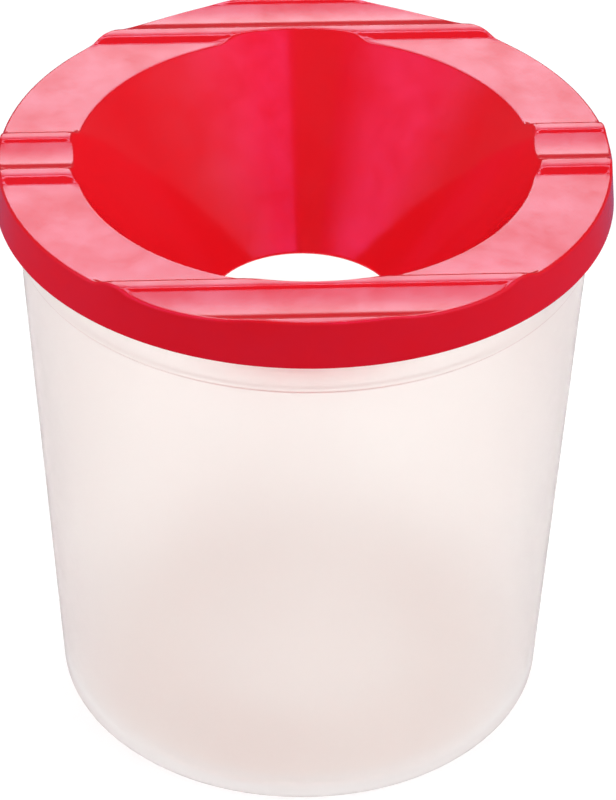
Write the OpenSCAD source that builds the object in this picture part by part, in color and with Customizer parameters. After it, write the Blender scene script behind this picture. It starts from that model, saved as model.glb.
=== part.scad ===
// Brush washer: a tapered translucent cup and a press-on lid with a no-spill
// funnel. The lid carries four brush rests, each a low bar with a trough: one on
// each side and one along the front and back of the rim.
// Units are millimetres. The cup stands on z = 0, centred on the Z axis.

/* [Cup] */
// Outer diameter of the cup's wall at the table
cup_bottom_d = 67; // [60:0.5:72]
// Outer diameter of the cup's wall at the rim, collar left out
cup_top_d = 76.2; // [74:0.2:90]
// Height of the cup from the table to the top of its rim
cup_h = 81.4; // [60:0.2:120]
// Thickness of the cup's wall
cup_wall = 1.2; // [0.8:0.1:1.6]
// Thickness of the cup's base above the recess
cup_base = 1.6; // [1:0.1:3]
// Rounding of the lower edge, outside
cup_edge_r = 1.5; // [0.6:0.1:3]
// Rounding of the corner between base and wall, inside
cup_inner_r = 2.5; // [0.5:0.1:5]
// Depth of the recess under the base
foot_h = 0.6; // [0.3:0.1:1.5]
// Width of the flat ring that the cup stands on
foot_w = 2.6; // [1.5:0.1:6]
// How far below the rim the collar starts
collar_h = 9.8; // [7:0.2:16]
// How far the collar stands out of the wall
collar_step = 0.25; // [0.1:0.05:0.6]
// Height of the bead along the rim
bead_h = 2.2; // [1.6:0.1:3]
// How far the bead stands out of the collar
bead_out = 0.35; // [0.2:0.05:0.8]
// Rounding of the rim's upper edges
rim_edge_r = 0.3; // [0.1:0.05:0.5]

/* [Lid] */
// Thickness of the flat ring
ring_t = 1.4; // [1:0.1:2.5]
// Thickness of the skirt at its top
skirt_wall = 1; // [0.8:0.1:2]
// Depth of the skirt below the ring's top face
skirt_h = 5.6; // [4:0.1:9]
// How much further out the skirt stands at its lower edge
skirt_draft = 0.5; // [0:0.1:1]
// Rounding of the lid's outer edge, and of the top edges of the rests
lid_edge_r = 0.5; // [0.2:0.05:0.7]
// Play between the cup's rim and the lid, outside and inside
fit_gap = 0.3; // [0.2:0.05:0.6]
// Depth of the rib that locates the lid inside the rim
rib_h = 2.4; // [1.5:0.1:4]
// Thickness of that rib
rib_wall = 1; // [0.7:0.1:1.6]

/* [Funnel] */
// Diameter of the funnel's mouth at the ring's top face
mouth_d = 60.2; // [50:0.2:62]
// Diameter of the hole at the funnel's lower end
hole_d = 24.6; // [16:0.2:34]
// Depth of the funnel below the ring's top face
funnel_h = 24.2; // [15:0.2:40]
// Thickness of the funnel's wall
funnel_wall = 1.2; // [0.8:0.1:2]

/* [Brush rests] */
// Height of the rests above the ring
rest_h = 1; // [1:0.1:2]
// Width of a rest's trough across the brush
trough_w = 6.8; // [5:0.1:8]
// Depth of the trough below the top of its rest
trough_depth = 0.9; // [0.5:0.1:0.9]
// Width of the ridge on each side of the trough
ridge_w = 1.8; // [1.4:0.1:2.4]
// Width of the ridge between the front or back trough and the lid's edge
rim_ridge_w = 1.6; // [1.2:0.1:2]
// How much wider a rest is on each side where it meets the ring
rest_draft = 0.8; // [0.2:0.1:1]

/* [Hidden] */
$fn = 96;
// Straight pieces in each rounded corner
round_steps = 6;
// How far a cutting shape runs past the surface that it cuts
past = 1;
cup_color = [0.94, 0.90, 0.88, 0.6];
lid_color = [0.86, 0.10, 0.13];

// The cup's wall leans out by wall_slope for each millimetre of height. A
// thickness or a radius square to it measures lean times as much across.
wall_slope = (cup_top_d - cup_bottom_d) / 2 / cup_h;
wall_tilt = atan(wall_slope);
lean = 1 / cos(wall_tilt);
function wall_r(z) = cup_bottom_d / 2 + wall_slope * z;
function inside_r(z) = wall_r(z) - cup_wall * lean;

collar_z = cup_h - collar_h;
bead_z = cup_h - bead_h;
rim_r = wall_r(cup_h) + collar_step + bead_out;
floor_z = foot_h + cup_base;
edge_x = wall_r(cup_edge_r) - cup_edge_r * lean;
inner_z = floor_z + cup_inner_r;
inner_x = inside_r(inner_z) - cup_inner_r * lean;

// The lid rests on the rim with the underside of its ring
ring_z = cup_h + ring_t;
rest_z = ring_z + rest_h;
lid_r = rim_r + fit_gap + skirt_wall;
skirt_z = ring_z - skirt_h;
rib_z = cup_h - rib_h;
rib_r = inside_r(rib_z) - fit_gap;
skirt_tilt = atan(skirt_draft / skirt_h);
function skirt_r(z) = lid_r + skirt_draft * (ring_z - z) / skirt_h;

hole_z = ring_z - funnel_h;
funnel_slope = (mouth_d - hole_d) / 2 / funnel_h;
funnel_across = funnel_wall * sqrt(1 + pow(funnel_slope, 2));
function funnel_r(z) = hole_d / 2 + funnel_slope * (z - hole_z);

// A rest is a bar along X. The side rests share the bar through the centre. The
// troughs of the bars at the front and back run rim_ridge_w inside the lid's edge.
rest_half = trough_w / 2 + ridge_w;
rest_slope = rest_draft / rest_h;
rest_tilt = atan(rest_slope);
rest_base_z = cup_h + ring_t / 2;
trough_r = (pow(trough_w / 2, 2) + pow(trough_depth, 2)) / (2 * trough_depth);
end_rest_y = lid_r - rim_ridge_w - trough_w / 2;

// Points of a round corner in the plane, from angle a0 to angle a1
function corner(x, z, r, a0, a1) =
    [for (i = [0:round_steps]) let (a = a0 + (a1 - a0) * i / round_steps) [x + r * cos(a), z + r * sin(a)]];

module cup() {
    outside = concat(
        [[0, foot_h], [edge_x - foot_w - foot_h, foot_h], [edge_x - foot_w, 0]],
        corner(edge_x, cup_edge_r, cup_edge_r, -90, -wall_tilt),
        [[wall_r(collar_z), collar_z],
         [wall_r(collar_z) + collar_step, collar_z + collar_step],
         [wall_r(bead_z) + collar_step, bead_z],
         [rim_r, bead_z + bead_out]],
        corner(rim_r - rim_edge_r, cup_h - rim_edge_r, rim_edge_r, 0, 90));
    inside = concat(
        corner(inside_r(cup_h) + rim_edge_r, cup_h - rim_edge_r, rim_edge_r, 90, 180),
        corner(inner_x, inner_z, cup_inner_r, -wall_tilt, -90),
        [[0, floor_z]]);
    color(cup_color)
        rotate_extrude()
            polygon(concat(outside, inside));
}

// Everything inside the lid's outer surface, up to the given height. The rounded
// edge starts where it is in line with the skirt.
module lid_space(top_z) {
    edge_z = top_z - lid_edge_r;
    rotate_extrude()
        polygon(concat(
            [[0, skirt_z], [skirt_r(skirt_z), skirt_z]],
            corner(skirt_r(edge_z) - lid_edge_r / cos(skirt_tilt), edge_z, lid_edge_r, skirt_tilt, 90),
            [[0, top_z]]));
}

// Space under the ring: the groove for the rim, between skirt and rib, and the
// room between the rib and the funnel
module under_ring() {
    below = skirt_z - past;
    rotate_extrude()
        polygon([
            [rib_r, cup_h],
            [lid_r - skirt_wall, cup_h],
            [skirt_r(below) - skirt_wall, below],
            [rib_r, below]]);
    rotate_extrude()
        polygon([
            [0, below],
            [rib_r + past, below],
            [rib_r + past, rib_z],
            [rib_r - rib_wall, rib_z],
            [rib_r - rib_wall, cup_h],
            [0, cup_h]]);
}

// Cone of the funnel, wider than its inside by the given amount
module funnel_cone(wider, bottom_z, top_z) {
    rotate_extrude()
        polygon([
            [0, bottom_z],
            [funnel_r(bottom_z) + wider, bottom_z],
            [funnel_r(top_z) + wider, top_z],
            [0, top_z]]);
}

// A bar along X with sloping sides, rounded top edges and a trough
module rest_bar(y) {
    foot = rest_half + rest_slope * (rest_z - rest_base_z);
    edge_y = rest_half + rest_slope * lid_edge_r - lid_edge_r / cos(rest_tilt);
    edge_z = rest_z - lid_edge_r;
    translate([0, y, 0])
        difference() {
            rotate([90, 0, 90])
                linear_extrude(2 * (lid_r + past), center = true)
                    polygon(concat(
                        [[-foot, rest_base_z], [foot, rest_base_z]],
                        corner(edge_y, edge_z, lid_edge_r, rest_tilt, 90),
                        corner(-edge_y, edge_z, lid_edge_r, 90, 180 - rest_tilt)));
            translate([0, 0, rest_z - trough_depth + trough_r])
                rotate([0, 90, 0])
                    cylinder(r = trough_r, h = 2 * (lid_r + 2 * past), center = true);
        }
}

module lid() {
    color(lid_color)
        difference() {
            union() {
                difference() {
                    lid_space(ring_z);
                    under_ring();
                }
                funnel_cone(funnel_across, hole_z, cup_h + ring_t / 2);
                intersection() {
                    lid_space(rest_z);
                    for (y = [-end_rest_y, 0, end_rest_y])
                        rest_bar(y);
                }
            }
            funnel_cone(0, hole_z - past, rest_z + past);
        }
}

cup();
lid();
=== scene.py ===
import math

import bpy
import numpy as np
from mathutils import Matrix, Vector
from mathutils.geometry import delaunay_2d_cdt


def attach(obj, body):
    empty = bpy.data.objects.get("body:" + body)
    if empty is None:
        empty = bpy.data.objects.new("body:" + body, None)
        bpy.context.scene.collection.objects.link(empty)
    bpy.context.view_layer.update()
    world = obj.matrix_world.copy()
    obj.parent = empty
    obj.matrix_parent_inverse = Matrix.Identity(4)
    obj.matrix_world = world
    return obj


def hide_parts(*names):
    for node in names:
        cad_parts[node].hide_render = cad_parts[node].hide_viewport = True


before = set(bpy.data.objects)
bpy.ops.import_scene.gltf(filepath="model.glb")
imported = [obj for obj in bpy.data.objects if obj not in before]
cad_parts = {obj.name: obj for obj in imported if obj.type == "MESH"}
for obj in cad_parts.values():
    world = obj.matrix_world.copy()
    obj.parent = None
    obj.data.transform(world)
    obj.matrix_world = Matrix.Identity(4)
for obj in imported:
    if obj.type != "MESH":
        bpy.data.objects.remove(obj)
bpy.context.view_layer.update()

MM = 0.001

# Sizes of the cup's solid, in millimetres
CUP_BOTTOM_R = 33.5
CUP_TOP_R = 38.1
CUP_H = 81.4
CUP_WALL = 1.2
CUP_BASE = 1.6
CUP_EDGE_R = 1.5
CUP_INNER_R = 2.5
FOOT_H = 0.6
FOOT_W = 2.6
COLLAR_H = 9.8
COLLAR_STEP = 0.25
BEAD_H = 2.2
BEAD_OUT = 0.35
RIM_EDGE_R = 0.3

# Sizes of the lid's solid
RING_T = 1.4
SKIRT_WALL = 1.0
SKIRT_H = 5.6
SKIRT_DRAFT = 0.5
FIT_GAP = 0.3
RIB_H = 2.4
RIB_WALL = 1.0
MOUTH_R = 30.1
HOLE_R = 12.3
FUNNEL_H = 24.2
FUNNEL_WALL = 1.2
REST_H = 1.0
TROUGH_HALF = 3.4
TROUGH_DEPTH = 0.9
RIM_RIDGE_W = 1.6

# Finer than the solids: a rest's hollow, as half its width and its slope at the edge,
# and the steeper lip over it
HOLLOW = 3.15
HOLLOW_SLOPE = math.radians(15)
HOLLOW_ROUND = 0.25
LIP_SLOPE = math.radians(45)
LIP_ROUND = 0.9
# A rest's ridge, its wall, the foot that runs out into the ring, and how far the section
# goes on past it
RIDGE_FALL = 0.04
RIDGE_ROUND = 1.2
WALL_FOOT = 6.3
WALL_ANGLE = math.radians(42)
WALL_FOOT_ROUND = 0.1
FOOT_RISE = 0.04
FOOT_RUN = 1.4
FOOT_ROUND = 4
PAST_FOOT = 1
# How wide a rest's bends blur, how wide they do at its softened ends, and how far these
# ends reach in from the rim and out from the mouth
BLUR = 0.05
END_BLUR = 0.33
SOFT_END = 0.6
# Near the Y axis the rests stay sharp: they soften from this cosine of the angle to the X
# axis, over this much more of it
SOFT_FROM = 0.12
SOFT_OVER = 0.14
# Roundings of the lid's rim, mouth, tip, skirt and underside, and of the cup
RIM_ROUND = 0.45
MOUTH_ROUND = 0.2
TIP_ROUND = 0.35
SKIRT_ROUND = 0.28
INNER_ROUND = 0.3
RIB_CORNER_ROUND = 0.4
NECK_ROUND = 0.8
BEAD_ROUND = 0.15
COLLAR_ROUND = 0.12
FOOT_EDGE_ROUND = 0.3

# Places that follow from the sizes
WALL_SLOPE = (CUP_TOP_R - CUP_BOTTOM_R) / CUP_H
CUP_ACROSS = CUP_WALL * math.hypot(1, WALL_SLOPE)
COLLAR_Z = CUP_H - COLLAR_H
BEAD_Z = CUP_H - BEAD_H
FLOOR_Z = FOOT_H + CUP_BASE
RIM_R = CUP_TOP_R + COLLAR_STEP + BEAD_OUT
RING_Z = CUP_H + RING_T
LID_R = RIM_R + FIT_GAP + SKIRT_WALL
TOP_R = LID_R - RIM_ROUND
SKIRT_Z = RING_Z - SKIRT_H
RIB_Z = CUP_H - RIB_H
HOLE_Z = RING_Z - FUNNEL_H
FUNNEL_SLOPE = (MOUTH_R - HOLE_R) / FUNNEL_H
FUNNEL_ACROSS = FUNNEL_WALL * math.hypot(1, FUNNEL_SLOPE)
END_REST_Y = LID_R - RIM_RIDGE_W - TROUGH_HALF


def cup_r(z):
    return CUP_BOTTOM_R + WALL_SLOPE * z


def skirt_r(z):
    return LID_R + SKIRT_DRAFT * (RING_Z - z) / SKIRT_H


def funnel_r(z):
    return HOLE_R + FUNNEL_SLOPE * (z - HOLE_Z)


# Camera: the size of the image, its focal length and principal point in pixels, and
# the place of the camera round the point that it looks at, in metres
WIDTH = 616
HEIGHT = 800
FOCAL_PX = 3675.8
PRINCIPAL_X = 302.68
PRINCIPAL_Y = 410.43
AZIMUTH = math.radians(-3.318)
ELEVATION = math.radians(36.204)
ROLL = math.radians(0.705)
DISTANCE = 0.50313
TARGET = Vector((0.0001, 0, 0.04141))
SENSOR_MM = 36
CLIP_NEAR = 0.05
CLIP_FAR = 20


def add_object(name, data):
    obj = bpy.data.objects.new(name, data)
    bpy.context.scene.collection.objects.link(obj)
    return obj


def direction(azimuth, elevation):
    """Unit vector away from the object; azimuth 0 is the front, -Y, and 90 degrees is +X."""
    return Vector((
        math.sin(azimuth) * math.cos(elevation),
        -math.cos(azimuth) * math.cos(elevation),
        math.sin(elevation)))


def camera_axes(back):
    """Right, up and ahead of the camera, which looks past its target by the principal point."""
    level = Vector((math.cos(AZIMUTH), math.sin(AZIMUTH), 0))
    upright = back.cross(level)
    right = level * math.cos(ROLL) + upright * math.sin(ROLL)
    up = upright * math.cos(ROLL) - level * math.sin(ROLL)
    # The image's middle isn't where the optical axis of the photograph's crop was
    ahead = -back
    ahead += right * ((WIDTH / 2 - PRINCIPAL_X) / FOCAL_PX)
    ahead += up * ((PRINCIPAL_Y - HEIGHT / 2) / FOCAL_PX)
    ahead.normalize()
    right = (right - ahead * right.dot(ahead)).normalized()
    return right, right.cross(ahead), ahead


def make_camera():
    back = direction(AZIMUTH, ELEVATION)
    right, up, ahead = camera_axes(back)
    data = bpy.data.cameras.new("camera")
    data.sensor_width = SENSOR_MM
    data.lens = FOCAL_PX * SENSOR_MM / HEIGHT
    data.clip_start = CLIP_NEAR
    data.clip_end = CLIP_FAR
    camera = add_object("camera", data)
    place = Matrix((right, up, -ahead)).transposed().to_4x4()
    place.translation = TARGET + back * DISTANCE
    camera.matrix_world = place
    bpy.context.scene.camera = camera


make_camera()

# Meshes: how they are divided, as columns round the cup, round the lid and on the inner
# loops of its top, and as steps in the roundings. No even column is nearer to a marked
# one than NEAR_MARK
CUP_COLUMNS = 288
RIM_COLUMNS = 240
LOOP_COLUMNS = 160
CUP_STEPS = 6
UNDER_STEPS = 4
RIM_STEPS = 8
MOUTH_STEPS = 6
REST_STEPS = 8
HOLLOW_POINTS = 40
ROUNDED_OFF = 5
NEAR_MARK = math.radians(0.35)


def unit(v):
    return v / np.linalg.norm(v, axis=-1, keepdims=True)


def smooth(t):
    t = np.clip(t, 0, 1)
    return t * t * (3 - 2 * t)


def rounded(points, steps):
    """Section of corners (r, z, radius) as points and as tangents along it."""
    corners = [np.array(p[:2], float) for p in points]
    out = [corners[0]]
    tangents = [unit(corners[1] - corners[0])]
    for before, corner, after, point in zip(corners, corners[1:], corners[2:], points[1:]):
        a = unit(corner - before)
        b = unit(after - corner)
        turn = math.acos(max(-1.0, min(1.0, float(a @ b))))
        cut = point[2] * math.tan(turn / 2)
        start = corner - a * cut
        end = corner + b * cut
        w = math.cos(turn / 2)
        for t in np.linspace(0, 1, steps + 1):
            k = [(1 - t) ** 2, 2 * t * (1 - t) * w, t * t]
            out.append((k[0] * start + k[1] * corner + k[2] * end) / sum(k))
            tangents.append(unit(a * (1 - t) + b * t))
    out.append(corners[-1])
    tangents.append(unit(corners[-1] - corners[-2]))
    return np.array(out), np.array(tangents)


class Grid:
    """Rows of points round the Z axis, each row a closed ring on the same columns."""

    def __init__(self, theta):
        self.theta = theta
        self.c = np.cos(theta)
        self.s = np.sin(theta)
        self.gap_before = ((theta - np.roll(theta, 1)) % (2 * np.pi))[:, None]
        self.gap_after = ((np.roll(theta, -1) - theta) % (2 * np.pi))[:, None]
        self.rows = []
        self.normals = []

    def along_row(self, p):
        """Tangent round the axis at each point of a row."""
        before = (p - np.roll(p, 1, 0)) / self.gap_before * self.gap_after
        after = (np.roll(p, -1, 0) - p) / self.gap_after * self.gap_before
        return before + after

    def add(self, r, z, tr, tz):
        """A row at radius r and height z, with the section's tangent (tr, tz)."""
        r, z, tr, tz = (np.broadcast_to(np.asarray(v, float), self.theta.shape) for v in (r, z, tr, tz))
        p = np.stack([r * self.c, r * self.s, z], 1)
        along = np.stack([tr * self.c, tr * self.s, tz], 1)
        self.rows.append(p)
        self.normals.append(unit(np.cross(along, self.along_row(p))))

    def section(self, points, tangents):
        for (r, z), (tr, tz) in zip(points, tangents):
            self.add(r, z, tr, tz)

    def fillet(self, p0, p1, p2, steps):
        """Rows of a rounding at each column, from p0 to p2 with its corner at p1."""
        a = unit(p1 - p0)
        b = unit(p2 - p1)
        w = np.sqrt((1 + np.sum(a * b, 1)) / 2)[:, None]
        for t in np.linspace(0, 1, steps + 1):
            k0, k1, k2 = (1 - t) ** 2, 2 * t * (1 - t) * w, t * t
            p = (k0 * p0 + k1 * p1 + k2 * p2) / (k0 + k1 + k2)
            d = unit(a * (1 - t) * w + b * t) if 0 < t < 1 else (a if t == 0 else b)
            self.add(p[:, 0], p[:, 1], d[:, 0], d[:, 1])

    def mesh(self):
        """Points, normals and the quads between the rows."""
        n = len(self.theta)
        faces = []
        for i in range(len(self.rows) - 1):
            a = i * n
            b = a + n
            for j in range(n):
                k = (j + 1) % n
                faces.append((b + j, b + k, a + k, a + j))
        return np.concatenate(self.rows), np.concatenate(self.normals), faces


def mesh_object(name, verts, faces, normals, material):
    mesh = bpy.data.meshes.new(name)
    mesh.from_pydata((np.asarray(verts) * MM).tolist(), [], [list(map(int, f)) for f in faces])
    mesh.validate()
    mesh.polygons.foreach_set("use_smooth", [True] * len(mesh.polygons))
    mesh.normals_split_custom_set_from_vertices(np.asarray(normals).tolist())
    mesh.materials.append(material)
    mesh.update()
    return add_object(name, mesh)


# The rests' height over the ring, on even steps of y
STEP = 0.01
ACROSS = 44
Y = np.arange(-ACROSS, ACROSS + STEP / 2, STEP)


def rest_section():
    """A rest's height against the distance from its middle line: hollow, lip, ridge, wall, foot."""
    hollow_r = HOLLOW / math.sin(HOLLOW_SLOPE)
    d = np.linspace(0, HOLLOW, HOLLOW_POINTS)
    h = REST_H - TROUGH_DEPTH + hollow_r - np.sqrt(hollow_r**2 - d**2)
    # The rounding into the lip takes the place of the hollow's last points
    kept = HOLLOW_POINTS - ROUNDED_OFF
    ridge, _ = rounded([
        (d[kept], h[kept], 0),
        (d[-1], h[-1], HOLLOW_ROUND),
        (HOLLOW + (REST_H - h[-1]) / math.tan(LIP_SLOPE), REST_H, LIP_ROUND),
        (WALL_FOOT - REST_H / math.tan(WALL_ANGLE), REST_H - RIDGE_FALL, RIDGE_ROUND),
        (WALL_FOOT, FOOT_RISE, WALL_FOOT_ROUND),
        (WALL_FOOT + FOOT_RUN, 0, FOOT_ROUND),
        (WALL_FOOT + FOOT_RUN + PAST_FOOT, 0, 0),
    ], REST_STEPS)
    return np.append(d[:kept], ridge[:, 0]), np.append(h[:kept], ridge[:, 1])


def rest_heights():
    d, h = rest_section()
    return np.max([np.interp(np.abs(Y - c), d, h) for c in (-END_REST_Y, 0, END_REST_Y)], axis=0)


def blurred(values, sigma):
    reach = round(4 * sigma / STEP)
    k = np.exp(-0.5 * (np.arange(-reach, reach + 1) * STEP / sigma) ** 2)
    return np.convolve(np.pad(values, reach, mode="edge"), k / k.sum(), mode="valid")


SHARP = blurred(rest_heights(), BLUR)
SOFT = blurred(SHARP, END_BLUR)
SHARP_SLOPE = np.gradient(SHARP, STEP)
SOFT_SLOPE = np.gradient(SOFT, STEP)


def top(theta, r, blend):
    """Height over the ring and its slope along y; the rests soften as blend goes to 1 at their ends."""
    y = r * np.sin(theta)
    w = blend * smooth((np.abs(np.cos(theta)) - SOFT_FROM) / SOFT_OVER)
    h = (1 - w) * np.interp(y, Y, SHARP) + w * np.interp(y, Y, SOFT)
    dy = (1 - w) * np.interp(y, Y, SHARP_SLOPE) + w * np.interp(y, Y, SOFT_SLOPE)
    return h, dy


# Where the mesh of the lid's top needs a line: the slope starts or stops bending by more
# than BEND degrees a millimetre, or has turned by TURN degrees since the last line. Lines
# lie LINE_GAP apart at least, and LINE_GAP_AT_RIM inside the rim
BEND = 1.0
TURN = 6
LINE_GAP = 0.03
LINE_GAP_AT_RIM = 0.02
# Two points of the top nearer than this would be one
SAME_POINT = 1e-7


def levels(limit):
    """The values of y that the top's mesh lines run along."""
    angle = np.degrees(np.arctan(SHARP_SLOPE))
    bend = np.abs(np.gradient(angle, STEP)) > BEND
    out = []
    last = 0.0
    for i in range(1, len(Y)):
        if abs(Y[i]) > limit:
            continue
        if bend[i] != bend[i - 1] or (bend[i] and abs(angle[i] - last) >= TURN):
            if not out or Y[i] - out[-1] > LINE_GAP:
                out.append(float(Y[i]))
            last = angle[i]
    return out


# Even angles round the lid, fine enough for its loops, and how the mouth's edge is found
FINE = np.linspace(-np.pi, np.pi, 14401)
MOUTH_SEARCH = (MOUTH_R - 0.5, MOUTH_R + 2)
HALVINGS = 40


def mouth_edge(theta):
    """Plan radius at which the funnel's cone cuts the top, found by halving."""
    low, high = (np.full_like(theta, r) for r in MOUTH_SEARCH)
    for _ in range(HALVINGS):
        middle = (low + high) / 2
        above = top(theta, middle, 1)[0] > (middle - MOUTH_R) / FUNNEL_SLOPE
        low, high = np.where(above, middle, low), np.where(above, high, middle)
    return (low + high) / 2


MOUTH_LOOP = mouth_edge(FINE) + MOUTH_ROUND


def crossings(radii, level):
    """Angles at which the loop with these radii at FINE crosses y = level."""
    f = radii * np.sin(FINE) - level
    i = np.nonzero(f[:-1] * f[1:] < 0)[0]
    return [float(v) for v in FINE[i] - f[i] * (FINE[i + 1] - FINE[i]) / (f[i + 1] - f[i])]


def angles_of(*marks):
    return [angle for levels_of in marks for angles in levels_of.values() for angle in angles]


def columns(marks, count):
    """The marked angles, with even ones where no mark is near."""
    marks = np.sort(marks)
    even = np.linspace(-np.pi, np.pi, count + 1)[:-1]
    gap = np.min(np.abs(even[:, None] - marks[None, :]), axis=1)
    return np.unique(np.concatenate([marks, even[gap > NEAR_MARK]]))


def inside(loop, x, y):
    """Whether the point lies inside the closed loop of points."""
    a, b = loop, np.roll(loop, -1, 0)
    hit = (a[:, 1] > y) != (b[:, 1] > y)
    with np.errstate(divide="ignore", invalid="ignore"):
        at = a[:, 0] + (y - a[:, 1]) / (b[:, 1] - a[:, 1]) * (b[:, 0] - a[:, 0])
    return bool(np.count_nonzero(hit & (at > x)) % 2)


class TopMesh:
    """The lid's top between its rim and its mouth, as loops of points with a line along every level."""

    def __init__(self, lines):
        self.lines = lines
        self.plan = []
        self.heights = []
        self.normals = []
        self.edges = []
        self.by_level = {}

    def marks(self, radii):
        return {y: crossings(radii, y) for y in self.lines}

    def loop(self, theta, r, h, marks):
        start = len(self.plan)
        n = len(theta)
        self.plan += [(float(x), float(y)) for x, y in zip(r * np.cos(theta), r * np.sin(theta))]
        self.heights += list(h)
        self.edges += [(start + i, start + (i + 1) % n) for i in range(n)]
        for level, angles in marks.items():
            for angle in angles:
                i = start + int(np.argmin(np.abs(theta - angle)))
                self.plan[i] = (self.plan[i][0], level)
                self.by_level.setdefault(level, []).append(i)

    def soft_loop(self, away, side):
        """A loop at a share of SOFT_END out from the mouth, side 1, or in from the rim, side -1."""
        radii = MOUTH_LOOP + away * SOFT_END if side > 0 else np.full_like(FINE, TOP_R - away * SOFT_END)
        marks = self.marks(radii)
        angles = columns(angles_of(marks), LOOP_COLUMNS)
        r = np.interp(angles, FINE, radii)
        h, dy = top(angles, r, 1 - smooth(away))
        # Across the loops the height goes from soft to sharp as smooth does, of slope 6 t (1 - t)
        softening = top(angles, r, 1)[0] - top(angles, r, 0)[0]
        dr = softening * -6 * away * (1 - away) / SOFT_END * side
        self.loop(angles, r, RING_Z + h, marks)
        slope = [-dr * np.cos(angles), -dy - dr * np.sin(angles), np.ones_like(angles)]
        self.normals.append(unit(np.stack(slope, 1)))

    def add_level_edges(self):
        for level, found in self.by_level.items():
            found = sorted(set(found), key=lambda i: self.plan[i][0])
            for a, b in zip(found, found[1:]):
                x = (self.plan[a][0] + self.plan[b][0]) / 2
                r = math.hypot(x, level)
                if np.interp(math.atan2(level, x), FINE, MOUTH_LOOP) < r < TOP_R:
                    self.edges.append((a, b))

    def faces(self, n):
        """Triangles facing up, between the rim, the first n points, and the mouth, the next n."""
        made = delaunay_2d_cdt([Vector(p) for p in self.plan], self.edges, [], 0, SAME_POINT, True)
        points, triangles, sources = made[0], made[2], made[3]
        origin = [source[0] if source else None for source in sources]
        assert None not in origin and len(points) == len(self.plan), "the top's lines cross"
        rim = np.array(self.plan[:n])
        mouth = np.array(self.plan[n:2 * n])
        out = []
        for triangle in triangles:
            corners = [origin[i] for i in triangle]
            a, b, c = (np.array(self.plan[i]) for i in corners)
            x, y = (a + b + c) / 3
            if not inside(rim, x, y) or inside(mouth, x, y):
                continue
            clockwise = (b - a)[0] * (c - a)[1] - (b - a)[1] * (c - a)[0] < 0
            out.append(corners[::-1] if clockwise else corners)
        return out


# Shares of the way along the skirt, along the funnel's inside, and to a rest's sharp part
SKIRT_SHARES = (0.4, 0.8)
FUNNEL_SHARES = (0.33, 0.66)
SOFT_SHARES = (0.25, 0.5, 0.75, 1)
# Heights of the skirt's and the funnel's straight part over their lower ends
SKIRT_FOOT = 0.3
FUNNEL_FOOT = 6


def add_skirt(g, theta, rim_z, rim_slope):
    """From the rim of the top over a rounded edge and down the skirt."""
    z1 = rim_z + rim_slope * np.sin(theta) * (LID_R - TOP_R)
    z2 = np.minimum(rim_z, z1) - RIM_ROUND
    g.fillet(np.stack([np.full(len(theta), TOP_R), rim_z], 1), np.stack([skirt_r(z1), z1], 1),
             np.stack([skirt_r(z2), z2], 1), RIM_STEPS)
    down = unit(np.array([SKIRT_DRAFT / SKIRT_H, -1.0]))
    for share in SKIRT_SHARES:
        z = z2 * (1 - share) + (SKIRT_Z + SKIRT_FOOT) * share
        g.add(skirt_r(z), z, down[0], down[1])


def add_underside(g):
    """From the skirt's foot in to the funnel's tip and up its inside."""
    foot = SKIRT_Z + SKIRT_FOOT
    rib = cup_r(RIB_Z) - CUP_ACROSS - FIT_GAP
    straight = HOLE_Z + FUNNEL_FOOT
    g.section(*rounded([
        (skirt_r(foot), foot, 0),
        (skirt_r(SKIRT_Z), SKIRT_Z, SKIRT_ROUND),
        (skirt_r(SKIRT_Z) - SKIRT_WALL, SKIRT_Z, SKIRT_ROUND),
        (LID_R - SKIRT_WALL, CUP_H, INNER_ROUND),
        (rib, CUP_H, INNER_ROUND),
        (rib, RIB_Z, INNER_ROUND),
        (rib - RIB_WALL, RIB_Z, INNER_ROUND),
        (rib - RIB_WALL, CUP_H, RIB_CORNER_ROUND),
        (funnel_r(CUP_H) + FUNNEL_ACROSS, CUP_H, NECK_ROUND),
        (HOLE_R + FUNNEL_ACROSS, HOLE_Z, TIP_ROUND),
        (HOLE_R, HOLE_Z, TIP_ROUND),
        (funnel_r(straight), straight, 0),
    ], UNDER_STEPS))


def on_cone(r):
    return np.stack([r, RING_Z + (r - MOUTH_R) / FUNNEL_SLOPE], 1)


def add_mouth(g, theta):
    """Up the funnel's inside and over the mouth's rounded edge; returns the loop where the top starts."""
    edge = mouth_edge(theta)
    outer = edge + MOUTH_ROUND
    start = np.stack([outer, RING_Z + top(theta, outer, 1)[0]], 1)
    end = on_cone(edge - MOUTH_ROUND)
    up = unit(np.array([FUNNEL_SLOPE, 1.0]))
    for share in FUNNEL_SHARES:
        z = (HOLE_Z + FUNNEL_FOOT) * (1 - share) + end[:, 1] * share
        g.add(funnel_r(z), z, up[0], up[1])
    g.fillet(end, on_cone(edge), start, MOUTH_STEPS)
    return outer, start[:, 1]


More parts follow.
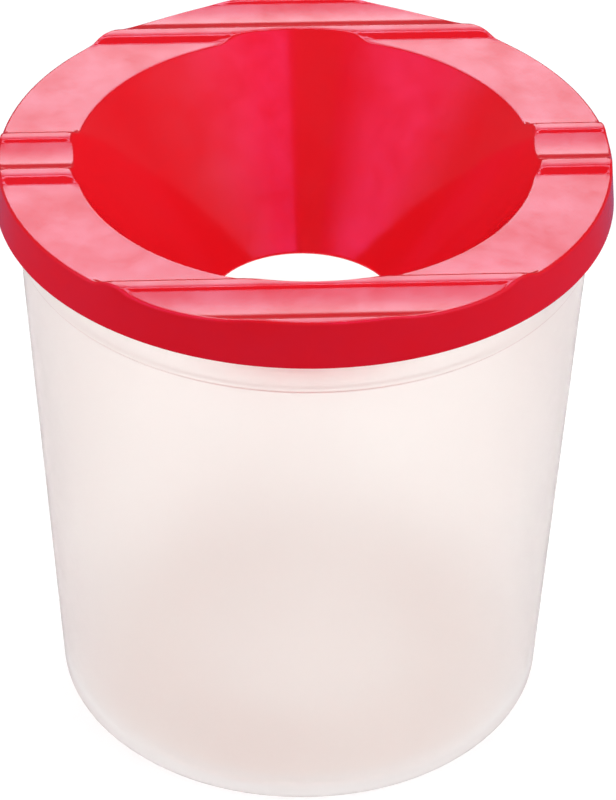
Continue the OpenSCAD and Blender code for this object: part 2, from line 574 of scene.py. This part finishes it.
def make_lid(material):
    t = TopMesh(levels(TOP_R - LINE_GAP_AT_RIM))
    rim_marks = t.marks(np.full_like(FINE, TOP_R))
    mouth_marks = t.marks(MOUTH_LOOP)
    theta = columns(angles_of(rim_marks, mouth_marks), RIM_COLUMNS)
    n = len(theta)
    g = Grid(theta)
    rim_height, rim_slope = top(theta, TOP_R, 1)
    add_skirt(g, theta, RING_Z + rim_height, rim_slope)
    add_underside(g)
    mouth_r, mouth_z = add_mouth(g, theta)
    t.loop(theta, TOP_R, RING_Z + rim_height, rim_marks)
    t.loop(theta, mouth_r, mouth_z, mouth_marks)
    for side in (1, -1):
        for away in SOFT_SHARES:
            t.soft_loop(away, side)
    t.add_level_edges()

    # The top shares the grid's first row, its rim, and its last row, its mouth
    verts, normals, faces = g.mesh()
    mouth_row = len(verts) - n
    shared = list(range(n)) + list(range(mouth_row, mouth_row + n))
    own = range(len(verts), len(verts) + len(t.plan) - 2 * n)
    number = shared + list(own)
    faces += [tuple(number[i] for i in face) for face in t.faces(n)]
    verts = np.concatenate([verts, [(*p, z) for p, z in zip(t.plan[2 * n:], t.heights[2 * n:])]])
    normals = np.concatenate([normals, *t.normals])
    return mesh_object("lid_shell", verts, faces, normals, material)


# Radius of the small disc that closes the cup's base on each side
DISC_R = 0.6


def cup_section():
    """From the middle of the floor up the inside, over the rim and down to the middle of the recess."""
    edge = cup_r(0)
    return [
        (DISC_R, FLOOR_Z, 0),
        (cup_r(FLOOR_Z) - CUP_ACROSS, FLOOR_Z, CUP_INNER_R),
        (cup_r(CUP_H) - CUP_ACROSS, CUP_H, RIM_EDGE_R),
        (RIM_R, CUP_H, RIM_EDGE_R),
        (RIM_R, BEAD_Z + BEAD_OUT, BEAD_ROUND),
        (cup_r(BEAD_Z) + COLLAR_STEP, BEAD_Z, BEAD_ROUND),
        (cup_r(COLLAR_Z) + COLLAR_STEP, COLLAR_Z + COLLAR_STEP, COLLAR_ROUND),
        (cup_r(COLLAR_Z), COLLAR_Z, COLLAR_ROUND),
        (edge, 0, CUP_EDGE_R),
        (edge - CUP_EDGE_R - FOOT_W, 0, FOOT_EDGE_ROUND),
        (edge - CUP_EDGE_R - FOOT_W - FOOT_H, FOOT_H, FOOT_EDGE_ROUND),
        (DISC_R, FOOT_H, 0),
    ]


def make_cup(material):
    n = CUP_COLUMNS
    g = Grid(np.linspace(-np.pi, np.pi, n + 1)[:-1])
    g.section(*rounded(cup_section(), CUP_STEPS))
    verts, normals, faces = g.mesh()
    last_row = len(verts) - n
    for row, z, up in ((0, FLOOR_Z, 1.0), (last_row, FOOT_H, -1.0)):
        center = len(verts)
        verts = np.concatenate([verts, [(0, 0, z)]])
        normals = np.concatenate([normals, [(0, 0, up)]])
        for j in range(n):
            a, b = row + j, row + (j + 1) % n
            faces.append((center, b, a) if up < 0 else (center, a, b))
    return mesh_object("cup_shell", verts, faces, normals, material)


# Materials

def srgb(r, g, b):
    """Linear colour of an sRGB colour out of 255."""
    def linear(v):
        v /= 255
        return v / 12.92 if v <= 0.04045 else ((v + 0.055) / 1.055) ** 2.4
    return linear(r), linear(g), linear(b)


def grey(v):
    return v, v, v


class Graph:
    """Short calls for a node tree; a value is a number, a colour or another node's output."""

    def __init__(self, tree):
        self.tree = tree

    def new(self, kind, **values):
        node = self.tree.nodes.new(kind)
        for key, value in values.items():
            setattr(node, key, value)
        return node

    def link(self, a, b):
        self.tree.links.new(a, b)

    def feed(self, socket, value):
        if isinstance(value, bpy.types.NodeSocket):
            self.link(value, socket)
        else:
            socket.default_value = value

    def math(self, operation, *values):
        node = self.new("ShaderNodeMath", operation=operation)
        for socket, value in zip(node.inputs, values):
            self.feed(socket, value)
        return node.outputs[0]

    def product(self, first, *others):
        for value in others:
            first = self.math("MULTIPLY", first, value)
        return first

    def inverse(self, value):
        return self.math("SUBTRACT", 1, value)

    def rise(self, value, low, high):
        """0 up to low, 1 from high, smooth between them."""
        node = self.new("ShaderNodeMapRange", interpolation_type="SMOOTHSTEP")
        self.link(value, node.inputs["Value"])
        node.inputs["From Min"].default_value = low
        node.inputs["From Max"].default_value = high
        return node.outputs[0]

    def window(self, value, low0, low1, high0, high1):
        """1 from low1 to high0, fading to 0 at low0 and high1."""
        return self.product(self.rise(value, low0, low1), self.inverse(self.rise(value, high0, high1)))

    def axes(self, coordinates):
        """The x, y and z of one of the coordinates that a texture can use."""
        node = self.new("ShaderNodeSeparateXYZ")
        self.link(self.new("ShaderNodeTexCoord").outputs[coordinates], node.inputs[0])
        return node.outputs

    def mix(self, factor, low, high):
        """The number low where the factor is 0, and high where it is 1."""
        node = self.new("ShaderNodeMix")
        for name, value in (("Factor", factor), ("A", low), ("B", high)):
            self.feed(node.inputs[name], value)
        return node.outputs["Result"]

    def mix_colors(self, factor, low, high, blend="MIX"):
        """Mix for colours, whose sockets come after those for numbers and vectors."""
        node = self.new("ShaderNodeMix", data_type="RGBA", blend_type=blend)
        self.link(factor, node.inputs["Factor"])
        self.feed(node.inputs[6], low)
        self.feed(node.inputs[7], high)
        return node.outputs[2]

    def ramp(self, value, stops):
        node = self.new("ShaderNodeValToRGB")
        elements = node.color_ramp.elements
        while len(elements) < len(stops):
            elements.new(0.5)
        for element, (at, color) in zip(elements, stops):
            element.position = at
            element.color = (*color, 1)
        self.link(value, node.inputs["Fac"])
        return node.outputs["Color"]

    def ray_kinds(self):
        """Factors of a ray: from the camera, mirrored, through the cup, and mirrored but not through it."""
        path = self.new("ShaderNodeLightPath").outputs
        through = self.math("MINIMUM", path["Transmission Depth"], 1)
        glossy = path["Is Glossy Ray"]
        return path["Is Camera Ray"], glossy, through, self.product(glossy, self.inverse(through))


class Material(Graph):
    """A material with one Principled shader."""

    def __init__(self, name, **constants):
        self.material = bpy.data.materials.new(name)
        self.material.use_nodes = True
        super().__init__(self.material.node_tree)
        self.shader = self.tree.nodes["Principled BSDF"]
        self.output = self.tree.nodes["Material Output"]
        for key, value in constants.items():
            self.shader.inputs[key.replace("_", " ")].default_value = value

    def drive(self, name, value):
        self.link(value, self.shader.inputs[name])

    def noise(self, scale, detail=2.0, roughness=0.5, stretch=(1, 1, 1)):
        where = self.new("ShaderNodeTexCoord")
        turn = self.new("ShaderNodeMapping")
        turn.inputs["Scale"].default_value = stretch
        self.link(where.outputs["Object"], turn.inputs["Vector"])
        node = self.new("ShaderNodeTexNoise")
        node.inputs["Scale"].default_value = scale
        node.inputs["Detail"].default_value = detail
        node.inputs["Roughness"].default_value = roughness
        self.link(turn.outputs["Vector"], node.inputs["Vector"])
        return node.outputs["Fac"]

    def tinted(self, color, mask, tint):
        """The colour, multiplied by the tint where the mask is 1."""
        return self.mix_colors(mask, color, (*tint, 1), "MULTIPLY")

    def bump(self, layers):
        """Bump layers of (height socket, distance in metres, strength), the finest last."""
        normal = None
        for value, distance, strength in layers:
            node = self.new("ShaderNodeBump")
            node.inputs["Distance"].default_value = distance
            node.inputs["Strength"].default_value = strength
            self.link(value, node.inputs["Height"])
            if normal is not None:
                self.link(normal, node.inputs["Normal"])
            normal = node.outputs["Normal"]
        self.drive("Normal", normal)


def lid_material():
    """Red moulded plastic, whose gloss is uneven in patches."""
    m = Material("lid_red_plastic", IOR=1.5, Specular_Tint=(0.57, 0.66, 1, 1))
    tone = m.noise(scale=45, detail=3)
    m.drive("Base Color", m.ramp(tone, [(0.3, srgb(235, 21, 33)), (0.7, srgb(239, 24, 37))]))
    polish = m.noise(scale=380, detail=3)
    m.drive("Roughness", m.ramp(polish, [(0.3, grey(0.09)), (0.75, grey(0.13))]))
    gloss = m.noise(scale=120, detail=5, roughness=0.68)
    m.drive("Specular IOR Level", m.ramp(gloss, [(0.36, grey(0.33)), (0.64, grey(0.66))]))
    waves = m.noise(scale=60, detail=1)
    grain = m.noise(scale=900)
    m.bump([(waves, 0.0002, 0.10), (grain, 0.00002, 0.12)])
    return m.material


def cup_color(m):
    """Milky white, with painted shade: a dark line under the collar, darker towards the edge of the base, and
    a darker, pinker ring on the base round a lighter centre that stands for light falling through the
    funnel's hole.
    """
    x, y, z = m.axes("Object")
    radius = m.math("SQRT", m.math("ADD", m.product(x, x), m.product(y, y)))
    collar = COLLAR_Z * MM
    # Painted shade: a thin darker line just under the collar's step, where its shadow falls
    collar_painted_shade = m.window(z, collar - 0.2 * MM, collar, collar + 0.3 * MM, collar + 0.5 * MM)
    low = m.inverse(m.rise(z, 2.2 * MM, 4.2 * MM))
    # Painted shade: darker towards the outer edge of the base, low down
    base_edge_painted_shade = m.product(low, m.rise(radius, 30.5 * MM, 32 * MM))
    # Painted shade: a darker ring on the base round a lighter centre that stands for light falling through
    # the funnel's hole, with a pink cast that stands for light off the red lid
    base_painted_shade_ring = m.product(low, m.window(radius, 14.5 * MM, 18.5 * MM, 29.5 * MM, 31 * MM))
    cloud = m.noise(scale=30, detail=3, roughness=0.55, stretch=(1, 1, 0.6))
    color = m.ramp(cloud, [(0.3, srgb(250, 245, 243)), (0.7, srgb(253, 250, 248))])
    color = m.tinted(color, collar_painted_shade, (0.8, 0.72, 0.72))
    color = m.tinted(color, base_edge_painted_shade, (0.91, 0.87, 0.87))
    return m.tinted(color, base_painted_shade_ring, (0.955, 0.92, 0.91))


def cup_material():
    """Translucent plastic, clouded, with a fine grain."""
    m = Material("cup_milky_plastic", IOR=1.2, Transmission_Weight=0.92)
    m.drive("Base Color", cup_color(m))
    polish = m.noise(scale=500, detail=3)
    m.drive("Roughness", m.ramp(polish, [(0.3, grey(0.42)), (0.7, grey(0.48))]))
    waves = m.noise(scale=40, stretch=(1, 1, 0.3))
    grain = m.noise(scale=1500)
    m.bump([(waves, 0.0003, 0.15), (grain, 0.00002, 0.2)])
    return m.material


lid = make_lid(lid_material())
cup = make_cup(cup_material())
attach(lid, "lid_body")
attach(cup, "cup_body")
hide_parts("lid")
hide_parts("cup")

# Floor and light
FLOOR_HALF = 3.0
FLOOR_ROUGHNESS = 0.7
FLOOR_COLOR = grey(0.3)
# The lid's plastic mirrors the floor as dark, with a breath of violet
FLOOR_MIRRORED = (0.12, 0.09, 0.2)
FLOOR_GLOW_SEEN = 0.75
FLOOR_GLOW_THROUGH = 0.68


def floor_material():
    m = Material("floor_pale", Roughness=FLOOR_ROUGHNESS)
    from_camera, _, through, mirrored = m.ray_kinds()
    m.drive("Base Color", m.ramp(mirrored, [(0, FLOOR_COLOR), (1, FLOOR_MIRRORED)]))
    glow = m.new("ShaderNodeEmission")
    seen = m.product(from_camera, FLOOR_GLOW_SEEN)
    m.link(m.math("MAXIMUM", seen, m.product(through, FLOOR_GLOW_THROUGH)), glow.inputs["Strength"])
    both = m.new("ShaderNodeAddShader")
    m.link(m.shader.outputs[0], both.inputs[0])
    m.link(glow.outputs[0], both.inputs[1])
    m.link(both.outputs[0], m.output.inputs["Surface"])
    return m.material


def add_floor():
    s = FLOOR_HALF
    mesh = bpy.data.meshes.new("floor")
    mesh.from_pydata([(-s, -s, 0), (s, -s, 0), (s, s, 0), (-s, s, 0)], [], [(0, 1, 2, 3)])
    mesh.materials.append(floor_material())
    add_object("floor", mesh)


# The world as the object mirrors it: strengths of its panels and of the rest, and their
# soft edges as parts of a unit vector (across, from the front to the back, and up) or as
# degrees round the object, from where a panel starts to show to where it is gone
BACK_PANEL = 4.55
BACK_SHARES = [(0.17, grey(0.78)), (0.6, grey(1.0)), (1.0, grey(0.72))]
BACK_FROM_UP = (0.28, 0.36)
BACK_FROM_BEHIND = (0.18, 0.26)
BACK_ACROSS = (-1, -0.5, 0.35, 0.5)
TOP_PANEL = 6.0
TOP_ALONG = (-0.2, -0.17, 0.02, 0.06)
TOP_FROM_UP = (0, 0.1)
TOP_ACROSS = (-1, -0.5, 0.3, 0.36)
SIDE_UP = (0.0, 0.2, 0.75, 0.88)
RIGHT_PANEL = 0.63
RIGHT_ROUND = (5, 9, 40, 105)
RIGHT_TINT_ROUND = (1, 6, 20, 90)
LEFT_PANEL = 0.56
LEFT_ROUND = (-118, -72, -54, -27)
LEFT_TINT_ROUND = (-118, -72, -27, -20)
BETWEEN_PANELS = 0.16
CRIMSON = (5.5, 0.6, 1.7, 1)
WHITE = (1, 1, 1, 1)
# The world as diffuse rays, rays through the cup and the camera see it
DIFFUSE_LEVEL = 0.24
THROUGH_LEVEL = 0.95
CAMERA_LEVEL = 1


def panel_levels(g, x, y, z, azimuth, side_height):
    """The studio that the object mirrors, as strengths by direction."""
    side = g.math("ABSOLUTE", x)
    behind_and_over = g.product(
        BACK_PANEL, g.ramp(z, BACK_SHARES), g.rise(z, *BACK_FROM_UP), g.rise(y, *BACK_FROM_BEHIND),
        g.window(side, *BACK_ACROSS))
    overhead = g.product(
        TOP_PANEL, g.window(y, *TOP_ALONG), g.rise(z, *TOP_FROM_UP), g.window(side, *TOP_ACROSS))
    # The funnel is hollow, so each of these shows on its other side
    right = g.product(RIGHT_PANEL, g.window(azimuth, *RIGHT_ROUND), side_height)
    left = g.product(LEFT_PANEL, g.window(azimuth, *LEFT_ROUND), side_height)
    level = BETWEEN_PANELS
    for panel in (behind_and_over, overhead, right, left):
        level = g.math("ADD", level, panel)
    return level


def add_world():
    """White to the eye and through the cup; for reflections a studio with soft panels."""
    world = bpy.data.worlds.new("studio")
    bpy.context.scene.world = world
    world.use_nodes = True
    g = Graph(world.node_tree)
    x, y, z = g.axes("Generated")
    azimuth = g.math("DEGREES", g.math("ARCTAN2", x, g.product(y, -1)))
    side_height = g.window(z, *SIDE_UP)
    from_camera, glossy, through, mirrored = g.ray_kinds()
    level = g.mix(glossy, DIFFUSE_LEVEL, panel_levels(g, x, y, z, azimuth, side_height))
    level = g.mix(through, level, THROUGH_LEVEL)
    level = g.mix(from_camera, level, CAMERA_LEVEL)

    # Crimson at the sides, for mirrored rays alone
    sides = g.math("ADD", g.window(azimuth, *LEFT_TINT_ROUND), g.window(azimuth, *RIGHT_TINT_ROUND))
    crimson = g.product(sides, side_height, mirrored)
    background = g.tree.nodes["Background"]
    g.link(level, background.inputs["Strength"])
    g.link(g.mix_colors(crimson, WHITE, CRIMSON), background.inputs["Color"])


# The point that the lamps face, in metres, and each lamp's name, azimuth and elevation in
# degrees, distance, width and height in metres, and radiance
LAMP_AIM = Vector((0, 0, 0.06))
LAMPS = [
    ("front_left", -66, 27, 1.8, 1.9, 1.9, 1.8),
    ("front_right", 66, 27, 1.8, 1.9, 1.9, 2.25),
    ("back_left", -135, 20, 1.8, 1.6, 1.6, 0.8),
    ("back_right", 135, 20, 1.8, 1.6, 1.6, 0.8),
    ("front_top", 0, 66, 1.6, 0.8, 0.5, 0.4),
]


def add_softbox(name, azimuth, elevation, distance, width, height, radiance):
    """An area lamp that faces the object."""
    away = direction(math.radians(azimuth), math.radians(elevation))
    data = bpy.data.lights.new(name, "AREA")
    data.shape = "RECTANGLE"
    data.size = width
    data.size_y = height
    data.energy = radiance * math.pi * width * height
    lamp = add_object(name, data)
    lamp.rotation_mode = "QUATERNION"
    lamp.location = away * distance + LAMP_AIM
    lamp.rotation_quaternion = away.to_track_quat("Z", "Y")
    # The world draws the reflections, so that their edges can be soft
    lamp.visible_glossy = False


add_floor()
add_world()
for lamp_values in LAMPS:
    add_softbox(*lamp_values)

bpy.context.scene.view_settings.view_transform = "Standard"
